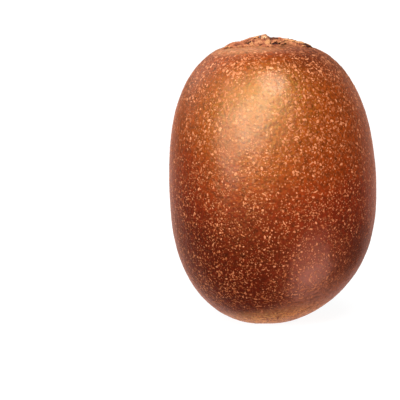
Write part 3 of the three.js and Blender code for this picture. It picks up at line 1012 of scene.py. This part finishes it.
def make_stub(material):
    """The end of the stalk, torn off askew, with a ragged crest."""
    level = float(height_of(share_at(np.array(STUB_RADIUS + GAP))) - basin(STUB_RADIUS + GAP))
    rows, columns = STUB_STEPS
    turn = np.linspace(0, 2 * np.pi, columns, endpoint=False)
    along, angle = np.meshgrid(np.linspace(0, 1, rows), turn, indexing="ij")
    # The profile goes up the wall and then in over the top. These are shares of the way along it.
    wall = smooth(0, 0.12, along)
    over = smooth(0.55, 1.0, along)
    radius = STUB_RADIUS * 0.93 * wall * (1 - over) * (1 + 0.1 * np.exp(-((along - 0.5) / 0.1) ** 2))
    up = np.minimum(along / 0.62, 1)
    height = level - STUB_DEPTH + (STUB_DEPTH + STUB_RISE - CREST_HEIGHT) * up
    x, y = radius * np.cos(angle), radius * np.sin(angle)
    slope = np.where(x < -CREST_SIDE, *CREST_SLOPES)
    crest = np.exp(-(((x + CREST_SIDE) / slope) ** 2)) * CREST_HEIGHT - 0.1 * np.abs(y)
    place = np.stack([x, y, 0 * x], axis=-1)
    rough = roughness(place + (0, 0, 1.0) * along[..., None], 0.75, 5.0)
    fine = roughness(place, 0.3, 9.0)
    torn = smooth(0.45, 0.7, along)
    height = height + torn * (crest + 0.3 * rough + 0.22 * fine)
    ridges = 1 + 0.05 * np.sin(11 * angle + 3 * rough) + 0.06 * rough
    middle = middle_line(share_at(np.array(STUB_RADIUS + GAP)))
    x, y = middle + x * ridges, y * ridges
    points, faces = rod(np.stack([x, y, height], axis=-1) - MIDDLE)
    # Darker where the torn top lies low: painted shade.
    fold = 0.6 + 0.4 * rough + 0.25 * fine + 0.2 * torn
    # The steep side of the crest is painted darker: painted shade.
    fold = np.append(fold - 0.6 * smooth(-0.5, 0.5, radius * np.cos(angle)), [0.3, 0.5])
    return mesh_object("torn_stub", points, faces, material, fold=fold)


def make_styles(material):
    """The dried styles that stay in the dimple, a tuft of thin drooping threads with blunt tips."""
    foot = np.array([middle_line(FOOT_SHARE), 0, 0]) - MIDDLE
    draws = np.random.default_rng(12)
    share = np.linspace(0, 1, STYLE_STEPS[0])
    parts = []
    for number in range(STYLE_COUNT):
        angle = 2 * math.pi * (number + 0.5 * draws.random()) / STYLE_COUNT
        reach = DIMPLE_RADIUS * draws.uniform(*STYLE_REACH)
        droop = draws.uniform(*STYLE_DROOP)
        swerve = draws.uniform(-STYLE_SWERVE, STYLE_SWERVE)
        out = STYLE_START + (reach - STYLE_START) * share
        bend = angle + swerve * share**2
        height = DIMPLE_DEPTH - STYLE_DEPTH - droop * share**2
        path = np.stack([out * np.cos(bend), out * np.sin(bend), height], axis=-1)
        width = STYLE_HALF_WIDTH * (1 - 0.35 * share)
        width = width + TIP_SWELL * np.exp(-(((share - 1) / 0.1) ** 2))
        forward = np.gradient(path, axis=0)
        forward /= np.linalg.norm(forward, axis=1, keepdims=True)
        side = np.cross(forward, (0, 0, 1))
        side /= np.linalg.norm(side, axis=1, keepdims=True)
        over = np.cross(forward, side)
        turn = 2 * np.pi * np.arange(STYLE_STEPS[1]) / STYLE_STEPS[1]
        rings = path[:, None] + width[:, None, None] * (
            side[:, None] * np.cos(turn)[:, None] + over[:, None] * np.sin(turn)[:, None]
        )
        parts.append(rod(rings + foot))
    # The knot that they spring from.
    up = np.linspace(0, 1, KNOT_STEPS[0])
    turn = 2 * np.pi * np.arange(KNOT_STEPS[1]) / KNOT_STEPS[1]
    radius = KNOT_RADIUS * np.sin(np.pi * np.clip(up, 0.02, 0.98)) ** 0.7
    height = DIMPLE_DEPTH - KNOT_DEPTH + KNOT_HEIGHT * up
    x, y = radius[:, None] * np.cos(turn), radius[:, None] * np.sin(turn)
    grid = np.stack([x, y, height[:, None] + 0 * turn], axis=-1)
    lumps = 1 + 0.12 * roughness(grid, 0.4, 2.0)
    parts.append(rod(grid * np.stack([lumps, lumps, 1 + 0 * lumps], axis=-1) + foot))
    points, faces, owner = together(parts)
    away = np.linalg.norm((points - foot)[:, :2], axis=1)
    worn = smooth(1.5, 2.5, away) * (owner < STYLE_COUNT)
    return mesh_object("dried_styles", points, faces, material, worn=worn)


# ---- stage, light and camera ----


def bearing(azimuth, elevation):
    """The way to something that stands at an azimuth and elevation. Azimuth 0 is in front, 90 right."""
    a, e = math.radians(azimuth), math.radians(elevation)
    return Vector((math.sin(a) * math.cos(e), -math.cos(a) * math.cos(e), math.sin(e)))


def soft_sun(name, azimuth, elevation, strength, spread, tint):
    """A distant soft light, which lights the fruit and the whole floor evenly."""
    light = bpy.data.lights.new(name, "SUN")
    light.energy, light.angle = strength, math.radians(spread)
    light.color = linear(tint)[:3]
    lamp = bpy.data.objects.new(name, light)
    lamp.rotation_euler = bearing(azimuth, elevation).to_track_quat("Z", "Y").to_euler()
    bpy.context.scene.collection.objects.link(lamp)


FLOOR_REACH = 6000


def make_floor():
    """A pale matt floor that glows almost white. Only the camera sees it."""
    material, tree = new_material("pale_floor_paint")
    paint = add(
        tree, "ShaderNodeBsdfPrincipled", {
            "Base Color": linear("#606060"), "Roughness": 0.9, "Specular IOR Level": 0.0,
            "Emission Color": linear("#FFFFFF"), "Emission Strength": 0.93,
        },
    )
    add(tree, "ShaderNodeOutputMaterial", {"Surface": paint})
    reach = FLOOR_REACH
    corners = [(-reach, -reach, 0), (reach, -reach, 0), (reach, reach, 0), (-reach, reach, 0)]
    floor = mesh_object("floor", corners, [(0, 1, 2, 3)], material)
    floor.visible_diffuse = False
    floor.visible_glossy = False
    floor.visible_shadow = False


# Soft lights: name, azimuth, elevation, strength and spread in degrees. The ones from below stand
# for what a pale table throws back, with some of the fruit's own red in it.
LIGHTS = (
    ("key_high", 5, 60, 2.4, 30),
    ("key_middle", -22, 25, 2.6, 39),
    ("key_front", 10, 36, 0.8, 46),
    ("key_narrow", 4, 46, 0.5, 26),
    ("left_low", -48, 13, 1.3, 34),
    ("left_high", -55, 48, 0.9, 42),
    ("rim_left", -110, 35, 0.35, 60),
    ("back_left", -150, 40, 0.4, 60),
    ("back_right", 150, 40, 0.1, 60),
    ("table_right", 74, -54, 0.9, 36),
    ("table_front", 50, -40, 0.85, 40),
    ("table_left", -155, -32, 0.3, 70),
    ("table_back", 180, -20, 0.45, 60),
    ("table_far", 140, -1, 0.1, 34),
)
TABLE_TINT = "#FFCCC4"
WORLD_LIGHT = 0.035


def light_scene():
    """A dim white studio that the camera sees as white, and the soft lights."""
    world = bpy.data.worlds.new("studio")
    world.use_nodes = True
    bpy.context.scene.world = world
    tree = world.node_tree
    tree.nodes.clear()
    seen = add(tree, "ShaderNodeLightPath", out="Is Camera Ray")
    strength = add(tree, MAP_RANGE, {"Value": seen, "To Min": WORLD_LIGHT, "To Max": 1.0})
    glow = add(tree, "ShaderNodeBackground", {"Color": linear("#FFFFFF"), "Strength": strength})
    add(tree, "ShaderNodeOutputWorld", {"Surface": glow})
    for name, azimuth, elevation, strength, spread in LIGHTS:
        tint = TABLE_TINT if elevation < 0 else "#FFFFFF"
        soft_sun(name, azimuth, elevation, strength, spread, tint)


CAMERA_ELEVATION = 8
CAMERA_DISTANCE = 600
FRAME_WIDTH = 96.6  # width of the view at the fruit
AIM = (-17.6, 0.0, 29.3)


def make_camera():
    """The camera in front of the fruit and a little above it."""
    camera = bpy.data.cameras.new("camera")
    camera.sensor_width = 36
    camera.lens = camera.sensor_width * CAMERA_DISTANCE / FRAME_WIDTH
    holder = bpy.data.objects.new("camera", camera)
    back = bearing(0, CAMERA_ELEVATION)
    holder.location = (Vector(AIM) + back * CAMERA_DISTANCE) * MM
    holder.rotation_euler = back.to_track_quat("Z", "Y").to_euler()
    bpy.context.scene.collection.objects.link(holder)
    bpy.context.scene.camera = holder


bpy.context.scene.view_settings.view_transform = "Standard"

make_camera()
make_floor()
light_scene()

fruit_skin = make_fruit(kiwi_skin())
dressed = [(fruit_skin, "fruit", "skin")]
dressed += [(piece, "fruit", "skin") for piece in make_lenticels(fruit_skin, cork())]
dressed.append((make_sepals(dead_sepal()), "sepals", "dry_sepal"))
dressed.append((make_stub(torn_wood()), "stalk_stub", "woody_stub"))
dressed.append((make_styles(dried_style()), "styles", "dry_style"))
for piece, node, slot in dressed:
    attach(piece, "root")
    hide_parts(node)
